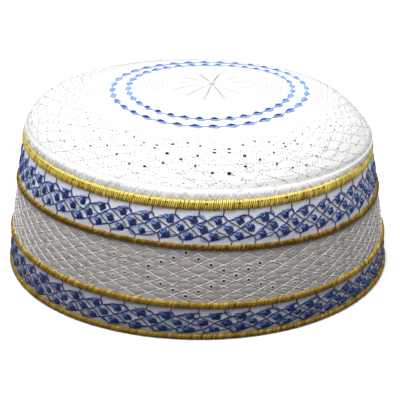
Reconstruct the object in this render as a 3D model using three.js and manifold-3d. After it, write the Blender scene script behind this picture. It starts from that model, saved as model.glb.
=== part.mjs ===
// Embroidered prayer cap: a domed crown, three side strips and the gold cords that cover its seams.
// Millimetres, +Z up. The origin is the middle of the hem, on the surface that the cap rests on,
// and the front of the cap faces -Y. Azimuth is counted from the front towards +X.

import {
  BufferAttribute,
  BufferGeometry,
  CylinderGeometry,
  Group,
  LatheGeometry,
  Mesh,
  MeshStandardMaterial,
  Quaternion,
  SplineCurve,
  Vector2,
  Vector3,
} from 'three';
import { mergeVertices } from 'three/addons/utils/BufferGeometryUtils.js';
import Module from 'manifold-3d';

const wasm = await Module();
wasm.setup();

// Driving dimensions
const SEGMENTS = 60;
const WALL = 2;
const GAP = 0.3;
const CORD_DEPTH = 1.2;
const STRIP_BULGE = 0.6;

// Seams, from the hem up. radius is to the outer face of the cord and width is the cord's own.
// tilt turns the cord's back with the cloth behind it, in degrees above level.
// lean, wave and bow lift the seam by lean * sin(a) + wave * sin(2a) + bow * cos(2a).
const SEAMS = {
  hem: { height: 1.25, radius: 94.0, width: 2.5, tilt: 0, lean: 0, wave: 0, bow: 0 },
  lower: { height: 16.0, radius: 92.6, width: 3.0, tilt: 7, lean: -0.5, wave: -0.37, bow: -0.56 },
  upper: { height: 41.0, radius: 88.5, width: 2.7, tilt: 10, lean: -1.33, wave: -1.05, bow: 0.45 },
  crown: { height: 60.0, radius: 84.6, width: 3.0, tilt: 15, lean: -2.46, wave: 0, bow: 0 },
};

// Outer face of the crown above its seam, from the rim to the middle.
const CROWN_ROWS = [
  { radius: 82.2, height: 62.6 },
  { radius: 77.8, height: 68.7 },
  { radius: 69.4, height: 77.0 },
  { radius: 57.5, height: 79.9 },
  { radius: 42.3, height: 81.4 },
  { radius: 21.1, height: 83.1 },
  { radius: 0, height: 85.1 },
];
const CROWN_STEPS = 11;
const CROWN_LINING_STEPS = 6;

// The crown's lean fades from its rim to its middle, while its back and +X side stand a little higher.
const LEAN_RADIUS = 81;
const TOP_RISE = { x: 2.6, y: 2.7 };

// Hem cord: a lip under the cloth with a flat underside, and a rounded face outside it.
const HEM = { lip: 1.1, lipRadius: 90.5, flatRadius: 93.1, chamfer: 0.8 };

// Eyelets cut through the cloth, on a pattern that repeats round the cap. across is in degrees
// from the middle of a repeat, and first is the azimuth of the first repeat's middle.
const EYELET = { radius: 0.6, sides: 5, length: 8 };
const REPEATS = 13;
const CROWN_EYELETS = {
  first: 20,
  rows: [
    { across: -11.08, radius: 65.4 },
    { across: 11.08, radius: 65.4 },
    { across: -5.54, radius: 73.4 },
    { across: 5.54, radius: 73.4 },
  ],
};
const SIDE_EYELETS = {
  first: -3.4,
  rows: [
    { across: 0, height: 38.5 },
    { across: 6.92, height: 33.9 },
    { across: 13.85, height: 29.3 },
    { across: -6.92, height: 24.7 },
    { across: 0, height: 20.1 },
  ],
};

const MATERIALS = {
  whiteCotton: new MeshStandardMaterial({ color: 0xf6f5f0, roughness: 0.85, metalness: 0 }),
  quiltedCotton: new MeshStandardMaterial({ color: 0xe6e3dd, roughness: 0.85, metalness: 0 }),
  flowerSatin: new MeshStandardMaterial({ color: 0xb4c0e2, roughness: 0.5, metalness: 0 }),
  goldThread: new MeshStandardMaterial({ color: 0xd8a92c, roughness: 0.45, metalness: 0.1 }),
};

const radians = (degrees) => (degrees * Math.PI) / 180;
const mix = (from, to, share) => from + (to - from) * share;

// Radius of the cloth's outer face where it meets a seam.
const clothRadius = (seam) => seam.radius - CORD_DEPTH - GAP;

// Lean, wave and bow at a height, carried evenly from each seam to the next.
function leanAt(height) {
  const rows = Object.values(SEAMS);
  const last = rows.length - 1;
  if (height <= rows[0].height) return rows[0];
  if (height >= rows[last].height) return rows[last];
  const above = rows.findIndex((row) => row.height > height);
  const low = rows[above - 1];
  const high = rows[above];
  const share = (height - low.height) / (high.height - low.height);
  return {
    lean: mix(low.lean, high.lean, share),
    wave: mix(low.wave, high.wave, share),
    bow: mix(low.bow, high.bow, share),
  };
}

// How far a point of the round form is lifted on the real, slightly leaning cap.
function rise(x, y, height) {
  const azimuth = Math.atan2(x, -y);
  const outward = Math.min(1, Math.hypot(x, y) / LEAN_RADIUS);
  const { lean, wave, bow } = leanAt(height);
  const edge = lean * Math.sin(azimuth) + wave * Math.sin(2 * azimuth) + bow * Math.cos(2 * azimuth);
  const top = (TOP_RISE.x * x + TOP_RISE.y * y) / SEAMS.crown.radius;
  return edge * outward ** 3 + top * (1 - outward ** 2);
}

// A geometry with its shared vertices merged and the empty triangles at the axis left out.
function closed(geometry) {
  geometry.deleteAttribute('normal');
  geometry.deleteAttribute('uv');
  const merged = mergeVertices(geometry, 1e-4);
  const corners = merged.index.array;
  const kept = [];
  for (let i = 0; i < corners.length; i += 3) {
    const [a, b, c] = corners.slice(i, i + 3);
    if (a !== b && b !== c && c !== a) kept.push(a, b, c);
  }
  merged.setIndex(kept);
  return merged;
}

// A section closed on itself and turned about +Z, then lifted by the cap's lean. It runs up its outer side.
function turned(section) {
  const points = [...section, section[0]].map((point) => new Vector2(point.radius, point.height));
  const geometry = closed(new LatheGeometry(points, SEGMENTS).rotateX(Math.PI / 2));
  const place = geometry.getAttribute('position');
  for (let i = 0; i < place.count; i += 1) {
    place.setZ(i, place.getZ(i) + rise(place.getX(i), place.getY(i), place.getZ(i)));
  }
  return geometry;
}

function toSolid(geometry) {
  const { position } = geometry.attributes;
  return new wasm.Manifold(
    new wasm.Mesh({
      numProp: 3,
      vertProperties: new Float32Array(position.array),
      triVerts: new Uint32Array(geometry.index.array),
    }),
  );
}

function toGeometry(solid) {
  const { vertProperties, triVerts } = solid.getMesh();
  const geometry = new BufferGeometry();
  geometry.setAttribute('position', new BufferAttribute(vertProperties, 3));
  geometry.setIndex(new BufferAttribute(triVerts, 1));
  geometry.computeVertexNormals();
  return geometry;
}

// One eyelet's cutter, its middle on the cloth and its length along the cloth's outward normal.
function eyelet({ azimuth, radius, height, slope }) {
  const outward = new Vector3(Math.sin(azimuth), -Math.cos(azimuth), 0);
  const normal = outward.clone().multiplyScalar(Math.cos(slope)).setZ(Math.sin(slope));
  const turn = new Quaternion().setFromUnitVectors(new Vector3(0, 1, 0), normal);
  const place = outward.multiplyScalar(radius);
  const cutter = new CylinderGeometry(EYELET.radius, EYELET.radius, EYELET.length, EYELET.sides);
  cutter.applyQuaternion(turn);
  cutter.translate(place.x, place.y, height + rise(place.x, place.y, height));
  return closed(cutter);
}

function pierced(geometry, eyelets) {
  const cut = eyelets.reduce((solid, row) => solid.subtract(toSolid(eyelet(row))), toSolid(geometry));
  return toGeometry(cut);
}

// Crown

// Outer face of the crown, from its rim to its middle.
function crownFace() {
  const rim = { radius: clothRadius(SEAMS.crown), height: SEAMS.crown.height + GAP / 2 };
  const points = [rim, ...CROWN_ROWS].map((row) => new Vector2(row.radius, row.height));
  return new SplineCurve(points);
}

function crownSection() {
  const face = crownFace();
  const outer = face.getPoints(CROWN_STEPS);
  const inner = [];
  for (let i = CROWN_LINING_STEPS; i >= 1; i -= 1) {
    const along = i / CROWN_LINING_STEPS;
    const point = face.getPoint(along);
    const tangent = face.getTangent(along);
    inner.push(new Vector2(point.x - tangent.y * WALL, point.y + tangent.x * WALL));
  }
  inner[0].set(0, outer[CROWN_STEPS].y - WALL);
  inner.push(new Vector2(outer[0].x - WALL, outer[0].y));
  outer[CROWN_STEPS].x = 0;
  return [...outer, ...inner].map((point) => ({ radius: Math.max(0, point.x), height: point.y }));
}

// Place and slope of the crown's face at a radius.
function crownAt({ radius }) {
  const face = crownFace();
  let along = 0;
  while (face.getPoint(along).x > radius) along += 0.001;
  const point = face.getPoint(along);
  const tangent = face.getTangent(along);
  return { radius, height: point.y, slope: Math.atan2(-tangent.x, tangent.y) };
}

// Each row of an eyelet table at its azimuth in every repeat, with the place that at gives it.
function repeated({ first, rows }, at) {
  return rows.flatMap((row) =>
    Array.from({ length: REPEATS }, (_, repeat) => ({
      ...at(row),
      azimuth: radians((360 * repeat) / REPEATS + first + row.across),
    })),
  );
}

// Side strips

// A strip from one seam to the next, swelling a little between its cords.
function stripSection(low, high, foot) {
  const bottom = { radius: clothRadius(low), height: foot };
  const top = { radius: clothRadius(high), height: high.height - GAP / 2 };
  const middle = {
    radius: mix(bottom.radius, top.radius, 0.5) + STRIP_BULGE,
    height: mix(bottom.height, top.height, 0.5),
  };
  const outer = [bottom, middle, top];
  const inner = outer.map(({ radius, height }) => ({ radius: radius - WALL, height })).reverse();
  return [...outer, ...inner];
}

// Place and slope of the lattice strip's face at a height.
function sideAt({ height }) {
  const { lower, upper } = SEAMS;
  const share = (height - lower.height) / (upper.height - lower.height);
  return {
    radius: mix(clothRadius(lower), clothRadius(upper), share),
    height,
    slope: Math.atan2(lower.radius - upper.radius, upper.height - lower.height),
  };
}

// Cords

// Half-round section of a cord, its flat back towards the cloth.
function cordSection({ radius, height, width, tilt }) {
  const turn = radians(tilt);
  return [-90, -45, 0, 45, 90].map((degrees) => {
    const out = CORD_DEPTH * Math.cos(radians(degrees));
    const up = (width / 2) * Math.sin(radians(degrees));
    return {
      radius: radius - CORD_DEPTH + out * Math.cos(turn) - up * Math.sin(turn),
      height: height + out * Math.sin(turn) + up * Math.cos(turn),
    };
  });
}

function hemSection() {
  const { radius, width } = SEAMS.hem;
  const back = clothRadius(SEAMS.hem) + GAP;
  return [
    { radius: HEM.lipRadius, height: 0 },
    { radius: HEM.flatRadius, height: 0 },
    { radius, height: HEM.chamfer },
    { radius, height: width - HEM.chamfer },
    { radius: back + GAP, height: width },
    { radius: back, height: width },
    { radius: back, height: HEM.lip },
    { radius: HEM.lipRadius, height: HEM.lip },
  ];
}

const cap = new Group();

function add(name, geometry, material) {
  const mesh = new Mesh(geometry, material);
  mesh.name = name;
  cap.add(mesh);
}

const { hem, lower, upper, crown } = SEAMS;
add('crown', pierced(turned(crownSection()), repeated(CROWN_EYELETS, crownAt)), MATERIALS.whiteCotton);
add('upper_flower_strip', turned(stripSection(upper, crown, upper.height + GAP / 2)), MATERIALS.flowerSatin);
add(
  'lattice_strip',
  pierced(turned(stripSection(lower, upper, lower.height + GAP / 2)), repeated(SIDE_EYELETS, sideAt)),
  MATERIALS.quiltedCotton,
);
add('lower_flower_strip', turned(stripSection(hem, lower, HEM.lip + GAP)), MATERIALS.flowerSatin);
add('crown_cord', turned(cordSection(crown)), MATERIALS.goldThread);
add('upper_band_cord', turned(cordSection(upper)), MATERIALS.goldThread);
add('lower_band_cord', turned(cordSection(lower)), MATERIALS.goldThread);
add('hem_cord', turned(hemSection()), MATERIALS.goldThread);

export default cap;
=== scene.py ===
"""Looks of an embroidered prayer cap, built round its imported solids.

The cap's own sizes are in millimetres and its azimuths in degrees from the front (-Y) towards +X.
Meshes are made in metres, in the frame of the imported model.
"""

import logging
import math
from dataclasses import dataclass, field
from enum import Enum
from typing import Callable

import bpy
import numpy as np
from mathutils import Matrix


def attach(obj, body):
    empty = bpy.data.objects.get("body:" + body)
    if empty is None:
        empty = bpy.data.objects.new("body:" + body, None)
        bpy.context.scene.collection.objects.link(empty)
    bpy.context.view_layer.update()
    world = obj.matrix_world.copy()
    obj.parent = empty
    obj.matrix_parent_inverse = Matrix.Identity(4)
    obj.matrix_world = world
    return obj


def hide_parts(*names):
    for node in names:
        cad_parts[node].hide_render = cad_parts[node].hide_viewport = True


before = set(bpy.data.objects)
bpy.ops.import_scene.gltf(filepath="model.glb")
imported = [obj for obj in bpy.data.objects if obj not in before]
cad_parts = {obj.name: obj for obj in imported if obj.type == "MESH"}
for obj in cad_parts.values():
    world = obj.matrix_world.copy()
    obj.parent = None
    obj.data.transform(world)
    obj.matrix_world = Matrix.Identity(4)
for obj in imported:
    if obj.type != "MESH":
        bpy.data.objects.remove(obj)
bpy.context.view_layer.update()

LOG = logging.getLogger("prayer_cap")
BODY = "root"
MM = 0.001
GAP = 0.3
WALL = 2.0
CORD_DEPTH = 1.2
PROBE = 0.1

Array = np.ndarray
Place = Callable[[Array, Array], Array]


class Slot(Enum):
    """Material slots of the record."""

    COTTON = "white_cotton"
    QUILT = "quilted_cotton"
    SATIN = "flower_satin"
    GOLD = "gold_thread"


class Turn(Enum):
    """Which way a slanting line of stitches runs as it leaves its first end."""

    LEFT = -1
    RIGHT = 1


# Form of the cap


@dataclass(frozen=True)
class Seam:
    """A seam and the gold cord over it.

    Attributes:
        height: Middle of the cord above the floor.
        radius: Outer face of the cord.
        width: Width of the cord.
        tilt: Degrees that the cord's face looks up.
        lean: Lift on the +X side.
        wave: Lift that goes twice round, by the sine.
        bow: Lift that goes twice round, by the cosine.
    """

    height: float
    radius: float
    width: float
    tilt: float = 0.0
    lean: float = 0.0
    wave: float = 0.0
    bow: float = 0.0

    @property
    def cloth(self) -> float:
        """Radius of the cloth's outer face at the seam."""
        return self.radius - CORD_DEPTH - GAP


HEM = Seam(height=1.25, radius=94.0, width=2.5)
LOWER = Seam(height=16.0, radius=92.6, width=3.0, tilt=7, lean=-1.0, wave=-0.6, bow=-0.56)
UPPER = Seam(height=41.0, radius=88.5, width=2.7, tilt=10, lean=-1.6, wave=-1.2, bow=0.3)
CROWN = Seam(height=60.0, radius=84.6, width=3.0, tilt=15, lean=-2.46, bow=-1.2)


@dataclass(frozen=True)
class CapForm:
    """Shape of the cap's cloth: round, with a slight lean that grows towards the crown's seam.

    Attributes:
        seams: Seams from the hem up.
        bulge: How far a strip swells between its cords.
        crown_rows: Radius and height of the crown's face above its seam, from the rim in.
        lean_radius: Radius inside which the lean fades.
        top_rise: How much higher the crown's +X side and back stand.
        heart: Middle of the crown's stitched pattern.
        side_swell: How much higher the crown stands at both sides than at the front.
        back_dip: How much lower it stands at the back.
        swell_radius: Radius of the highest swell.
        shoulder: How far the crown bulges out at both sides, and how far more at the back.
        shoulder_start: Radius where the bulge begins.
        shoulder_power: How late the bulge rises.
        shoulder_drop: How much lower the bulge hangs at both sides.
    """

    seams: tuple[Seam, ...] = (HEM, LOWER, UPPER, CROWN)
    bulge: float = 0.6
    crown_rows: tuple[tuple[float, float], ...] = (
        (82.2, 62.6),
        (77.8, 68.7),
        (69.4, 77.0),
        (57.5, 80.5),
        (42.3, 82.1),
        (21.1, 84.2),
        (0.0, 86.3),
    )
    lean_radius: float = 81.0
    top_rise: tuple[float, float] = (2.6, 3.4)
    heart: tuple[float, float] = (6.5, 1.5)
    side_swell: float = 1.8
    back_dip: float = 0.4
    swell_radius: float = 46.0
    shoulder: tuple[float, float] = (3.4, 1.9)
    shoulder_start: float = 46.0
    shoulder_power: float = 3.5
    shoulder_drop: float = 1.0

    def rise(self, x: Array, y: Array, height: Array) -> Array:
        """Lift of the real cap over the round form.

        Args:
            x: Place along X.
            y: Place along Y.
            height: Height on the round form.

        Returns:
            The lift at each place.
        """
        heights = [seam.height for seam in self.seams]
        lean, wave, bow = (
            np.interp(height, heights, [getattr(seam, name) for seam in self.seams])
            for name in ("lean", "wave", "bow")
        )
        azimuth = np.arctan2(x, -y)
        outward = np.minimum(1.0, np.hypot(x, y) / self.lean_radius)
        edge = lean * np.sin(azimuth) + wave * np.sin(2 * azimuth) + bow * np.cos(2 * azimuth)
        top = (self.top_rise[0] * x + self.top_rise[1] * y) / CROWN.radius
        return edge * outward**3 + top * (1 - outward**2)

    def placed(self, azimuth: Array, radius: Array, height: Array) -> Array:
        """Points of the real cap.

        Args:
            azimuth: Degrees from the front.
            radius: Distance from the axis.
            height: Height on the round form.

        Returns:
            One row of X, Y and Z for each point.
        """
        turn = np.radians(azimuth)
        x, y = radius * np.sin(turn), -radius * np.cos(turn)
        return np.stack([x, y, height + self.rise(x, y, height)], axis=-1)

    def side(self, azimuth: Array, height: Array) -> Array:
        """Points on the outer face of the side strips.

        Args:
            azimuth: Degrees from the front.
            height: Height on the round form.

        Returns:
            One row of X, Y and Z for each point.
        """
        heights = [seam.height for seam in self.seams]
        straight = np.interp(height, heights, [seam.cloth for seam in self.seams])
        step = np.clip(np.searchsorted(heights, height) - 1, 0, len(heights) - 2)
        low = np.take(heights, step)
        share = np.clip((height - low) / (np.take(heights, step + 1) - low), 0, 1)
        return self.placed(azimuth, straight + self.bulge * 4 * share * (1 - share), height)

    def crown_profile(self, steps: int = 40) -> tuple[Array, Array]:
        """Radius and height along the crown's face, a smooth curve through its rows.

        Args:
            steps: Points on each stretch between two rows.

        Returns:
            The radii and the heights, from the rim in.
        """
        rows = np.array([(CROWN.cloth, CROWN.height + GAP / 2), *self.crown_rows])
        ends = np.vstack([rows[:1], rows, rows[-1:]])
        share = np.linspace(0, 1, steps, endpoint=False)[:, None]
        stretches = []
        for before, low, high, after in zip(ends, ends[1:], ends[2:], ends[3:]):
            out, into = (high - before) / 2, (after - low) / 2
            curve = (2 * low - 2 * high + out + into) * share**3
            curve = curve + (3 * high - 3 * low - 2 * out - into) * share**2 + out * share + low
            stretches.append(curve)
        stretches.append(rows[-1:])
        points = np.vstack(stretches)
        return points[:, 0], points[:, 1]

    def crown_run(self) -> tuple[Array, Array]:
        """Distance from the rim along the crown's face, and the radius there.

        Returns:
            The distances and the radii, from the rim in.
        """
        radii, heights = self.crown_profile()
        return np.concatenate([[0], np.cumsum(np.hypot(np.diff(radii), np.diff(heights)))]), radii

    def top(self, azimuth: Array, radius: Array) -> Array:
        """Points on the crown's face, in the polar places of its stitched pattern.

        Args:
            azimuth: Degrees from the front, round the middle of the pattern.
            radius: Distance from the middle of the pattern.

        Returns:
            One row of X, Y and Z for each point.
        """
        radii, heights = self.crown_profile()
        turn = np.radians(azimuth)
        drift = 1 - np.clip(radius / CROWN.cloth, 0, 1) ** 3
        x = radius * np.sin(turn) + self.heart[0] * drift
        y = self.heart[1] * drift - radius * np.cos(turn)
        height = np.interp(np.hypot(x, y), radii[::-1], heights[::-1])
        outward = (radius / self.swell_radius) ** 2
        swell = self.side_swell * np.sin(turn) ** 2 - self.back_dip * ((1 - np.cos(turn)) / 2) ** 2
        height = height + swell * outward * np.exp(1 - outward) * drift
        share = np.clip((radius - self.shoulder_start) / (CROWN.cloth - self.shoulder_start), 0, 1)
        bell = 4 * share**self.shoulder_power * (1 - share**self.shoulder_power)
        sides, back = np.sin(turn) ** 2, ((1 - np.cos(turn)) / 2) ** 2
        push = bell * (self.shoulder[0] * sides + self.shoulder[1] * back)
        x, y = x + push * np.sin(turn), y - push * np.cos(turn)
        height = height - self.shoulder_drop * sides * bell
        return np.stack([x, y, height + self.rise(x, y, height)], axis=-1)


FORM = CapForm()


def unit(vectors: Array) -> Array:
    """Vectors made one long."""
    return vectors / np.maximum(np.linalg.norm(vectors, axis=-1, keepdims=True), 1e-9)


def hump(azimuth: Array, middle: float, spread: float) -> Array:
    """A smooth rise round one azimuth.

    Args:
        azimuth: Degrees from the front.
        middle: Azimuth where it is 1.
        spread: Degrees from there to where it has fallen to about a third.

    Returns:
        The rise at each azimuth, from 0 to 1.
    """
    return np.exp(-((((azimuth + 180) % 360 - 180 - middle) / spread) ** 2))


def normals_on(place: Place, across: Array, along: Array) -> Array:
    """Outward normals of a face of the cap.

    Args:
        place: Gives the face's points from two coordinates.
        across: First coordinate, an azimuth.
        along: Second coordinate, a height or a radius.

    Returns:
        One unit normal for each place.
    """
    turn = place(across + PROBE, along) - place(across - PROBE, along)
    climb = place(across, along + PROBE) - place(across, along - PROBE)
    normal = unit(np.cross(turn, climb))
    outward = np.array([0.0, 0.0, CROWN.height / 2])
    facing = np.sum(normal * (place(across, along) - outward), axis=-1, keepdims=True)
    return normal * np.where(facing < 0, -1.0, 1.0)


def laid(place: Place, across: Array, along: Array, lift: Array | float) -> tuple[Array, Array]:
    """Points lifted off a face of the cap.

    Args:
        place: Gives the face's points from two coordinates.
        across: First coordinate, an azimuth.
        along: Second coordinate, a height or a radius.
        lift: Distance off the face.

    Returns:
        The points and the face's normals there.
    """
    normal = normals_on(place, across, along)
    return place(across, along) + normal * np.asarray(lift)[..., None], normal


# Meshes


@dataclass
class ThreadBundle:
    """Many short threads that become one mesh.

    Attributes:
        points: Vertices of each batch.
        faces: Faces of all the batches.
        tones: Shade of each vertex, from 0 to 1.
    """

    points: list[Array] = field(default_factory=list)
    faces: list[list[int]] = field(default_factory=list)
    tones: list[Array] = field(default_factory=list)

    @property
    def count(self) -> int:
        """Number of vertices so far."""
        return sum(len(batch) for batch in self.points)

    def add(
        self,
        paths: Array,
        normals: Array,
        width: Array | float,
        depth: Array | float,
        tones: Array | float,
        sides: int = 4,
        ring: bool = False,
    ) -> None:
        """Adds one closed thread for each path.

        Args:
            paths: Points of each path, as threads by points by three.
            normals: The cloth's normal at each point.
            width: Half of the thread's width at each point.
            depth: Half of the thread's depth at each point.
            tones: Shade at each point.
            sides: Sides of the thread's section.
            ring: Whether each path closes on itself.
        """
        threads, steps = paths.shape[:2]
        if ring:
            run = np.roll(paths, -1, axis=1) - np.roll(paths, 1, axis=1)
        else:
            run = np.gradient(paths, axis=1)
        run = unit(run)
        across = unit(np.cross(run, normals))
        up = np.cross(across, run)
        turn = 2 * np.pi * (np.arange(sides) + 0.5) / sides
        wide = np.broadcast_to(width, (threads, steps))[..., None, None]
        deep = np.broadcast_to(depth, (threads, steps))[..., None, None]
        section = across[:, :, None] * np.cos(turn)[:, None] * wide
        section = section + up[:, :, None] * np.sin(turn)[:, None] * deep
        vertices = (paths[:, :, None] + section).reshape(-1, 3)
        index = np.arange(len(vertices)).reshape(threads, steps, sides) + self.count
        ahead = np.roll(index, -1, axis=1) if ring else index[:, 1:]
        here = index if ring else index[:, :-1]
        quads = np.stack([here, ahead, np.roll(ahead, -1, axis=2), np.roll(here, -1, axis=2)], axis=-1)
        self.points.append(vertices)
        self.faces += quads.reshape(-1, 4).tolist()
        if not ring:
            self.faces += index[:, 0].tolist() + index[:, -1, ::-1].tolist()
        tone = np.broadcast_to(tones, (threads, steps))
        self.tones.append(np.repeat(tone.reshape(-1), sides))

    def made(self, name: str, finish: "ThreadFinish") -> bpy.types.Object:
        """The threads as one object.

        Args:
            name: Name of the piece.
            finish: Finish of the threads.

        Returns:
            The new object, with its shades in the attribute named tone.
        """
        mesh = bpy.data.meshes.new(name)
        mesh.from_pydata((np.vstack(self.points) * MM).tolist(), [], self.faces)
        tone = mesh.attributes.new("tone", "FLOAT", "POINT")
        tone.data.foreach_set("value", np.concatenate(self.tones).astype(np.float32))
        mesh.polygons.foreach_set("use_smooth", np.ones(len(mesh.polygons), dtype=bool))
        mesh.materials.append(WARDROBE.of(finish))
        piece = bpy.data.objects.new(name, mesh)
        bpy.context.collection.objects.link(piece)
        return piece


def read(items: bpy.types.bpy_prop_collection, name: str, width: int = 1, kind: type = float) -> Array:
    """One field of every vertex, corner or face of a mesh.

    Args:
        items: The vertices, corners or faces.
        name: Name of the field.
        width: Numbers in the field.
        kind: Type of the numbers.

    Returns:
        One row for each item, or one number where the field holds one.
    """
    values = np.empty(len(items) * width, dtype=kind)
    items.foreach_get(name, values)
    return values.reshape(-1, width) if width > 1 else values


def pick(piece: bpy.types.Object) -> None:
    """Makes a piece the only one that is selected, and the active one.

    Args:
        piece: The piece.
    """
    bpy.ops.object.select_all(action="DESELECT")
    piece.select_set(True)
    bpy.context.view_layer.objects.active = piece


@dataclass
class ClothShell:
    """A turned sheet of cloth that gets relief, holes, a map and a thickness.

    Attributes:
        name: Name of the piece.
        rows: Second coordinate of each row of vertices on the cap's face.
        place: Gives the cap's points from an azimuth and a row's coordinate.
        segments: Vertices in a row.
        closes: Whether the last row closes at a point.
    """

    name: str
    rows: Array
    place: Place
    segments: int
    closes: bool = False

    def drawn(self) -> bpy.types.Object:
        """A circle extruded row by row to the cap's height and radius.

        Returns:
            The open sheet, with its rows in order.
        """
        start = self.place(np.zeros(len(self.rows)), self.rows) * MM
        radii, heights = np.abs(start[:, 1]), start[:, 2]
        bpy.ops.object.select_all(action="DESELECT")
        bpy.ops.mesh.primitive_circle_add(
            vertices=self.segments, radius=radii[0], location=(0, 0, heights[0])
        )
        piece = bpy.context.object
        piece.name = piece.data.name = self.name
        bpy.ops.object.transform_apply(location=True)
        bpy.ops.object.mode_set(mode="EDIT")
        for row in range(1, len(self.rows)):
            lift = (0, 0, heights[row] - heights[row - 1])
            scale = radii[row] / radii[row - 1]
            bpy.ops.mesh.extrude_region_move(TRANSFORM_OT_translate={"value": lift})
            bpy.ops.transform.resize(value=(scale, scale, 1), center_override=(0, 0, heights[row]))
        if self.closes:
            bpy.ops.mesh.edge_face_add()
        bpy.ops.object.mode_set(mode="OBJECT")
        return piece

    def coordinates(self, piece: bpy.types.Object) -> tuple[Array, Array]:
        """Azimuth and row coordinate of each vertex of the drawn sheet.

        Args:
            piece: The drawn sheet.

        Returns:
            The azimuths and the row coordinates.
        """
        points = read(piece.data.vertices, "co", 3)
        azimuth = np.degrees(np.arctan2(points[:, 0], -points[:, 1]))
        return azimuth, np.repeat(self.rows, self.segments)

    def shaped(self, piece: bpy.types.Object, relief: Callable[[Array, Array], Array]) -> None:
        """Moves the sheet onto the cap's face and raises its relief.

        Args:
            piece: The drawn sheet.
            relief: Gives the height of the relief from an azimuth and a row's coordinate.
        """
        azimuth, along = self.coordinates(piece)
        points, _ = laid(self.place, azimuth, along, relief(azimuth, along))
        self.map(piece, azimuth, along)
        piece.data.vertices.foreach_set("co", (points * MM).ravel())
        piece.data.update()

    def map(self, piece: bpy.types.Object, azimuth: Array, along: Array) -> None:
        """Gives the sheet a map, azimuth in turns against the row's coordinate in millimetres.

        Args:
            piece: The drawn sheet.
            azimuth: Azimuth of each vertex.
            along: Row coordinate of each vertex.
        """
        layer = piece.data.uv_layers.new(name="cloth_map")
        corners = read(piece.data.loops, "vertex_index", kind=int)
        turns = azimuth[corners] / 360
        starts = read(piece.data.polygons, "loop_start", kind=int)
        totals = read(piece.data.polygons, "loop_total", kind=int)
        first = np.repeat(turns[starts], totals)
        turns = turns - np.round(turns - first)
        layer.data.foreach_set("uv", np.stack([turns, along[corners]], axis=-1).ravel())

    def pierced(self, piece: bpy.types.Object, holes: Array, sizes: Array) -> None:
        """Cuts the faces round each hole's middle out of the sheet, and rounds the hole.

        Args:
            piece: The shaped sheet.
            holes: Points of the holes' middles.
            sizes: Radius of each hole.
        """
        points = read(piece.data.vertices, "co", 3) / MM
        middles = read(piece.data.polygons, "center", 3) / MM
        chosen: set[int] = set()
        for hole, size in zip(holes, sizes):
            away = np.linalg.norm(middles - hole, axis=1)
            cut = set(np.nonzero(away < size * 0.75)[0].tolist()) | {int(np.argmin(away))}
            chosen |= cut
            rim = sorted({corner for face in cut for corner in piece.data.polygons[face].vertices})
            reach = 2.4 * size
            distance = np.linalg.norm(points - hole, axis=1)
            near = np.nonzero(distance < reach)[0]
            pushed = size + distance[near, None] * (1 - size / reach)
            points[near] = hole + unit(points[near] - hole) * pushed
            points[rim] = hole + unit(points[rim] - hole) * size
        piece.data.vertices.foreach_set("co", (points * MM).ravel())
        piece.data.update()
        pick(piece)
        bpy.context.tool_settings.mesh_select_mode = (False, False, True)
        bpy.ops.object.mode_set(mode="EDIT")
        bpy.ops.mesh.select_all(action="DESELECT")
        bpy.ops.object.mode_set(mode="OBJECT")
        for face in chosen:
            piece.data.polygons[face].select = True
        bpy.ops.object.mode_set(mode="EDIT")
        bpy.ops.mesh.delete(type="FACE")
        bpy.ops.object.mode_set(mode="OBJECT")
        bpy.context.tool_settings.mesh_select_mode = (True, False, False)

    def thickened(self, piece: bpy.types.Object, finish: "ClothFinish") -> None:
        """Turns the sheet's faces outward and gives it its finish and the cloth's thickness.

        Args:
            piece: The shaped and pierced sheet.
            finish: Finish of both faces; cut edges get the dark one of an eyelet's throat, a painted shade.
        """
        piece.data.materials.append(WARDROBE.of(finish))
        piece.data.materials.append(WARDROBE.of(THROAT_PAINTED_SHADE))
        pick(piece)
        bpy.ops.object.mode_set(mode="EDIT")
        bpy.ops.mesh.select_all(action="SELECT")
        bpy.ops.mesh.normals_make_consistent(inside=False)
        bpy.ops.object.mode_set(mode="OBJECT")
        first = piece.data.polygons[0]
        middle = np.array([0.0, 0.0, CROWN.height / 2]) * MM
        if np.dot(np.array(first.center) - middle, np.array(first.normal)) < 0:
            piece.data.flip_normals()
        wall = piece.modifiers.new("wall", "SOLIDIFY")
        wall.thickness = WALL * MM
        wall.offset = -1.0
        wall.material_offset_rim = 1
        bpy.ops.object.modifier_apply(modifier=wall.name)
        bpy.ops.object.shade_smooth_by_angle(angle=math.radians(60))


# Finishes


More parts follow.
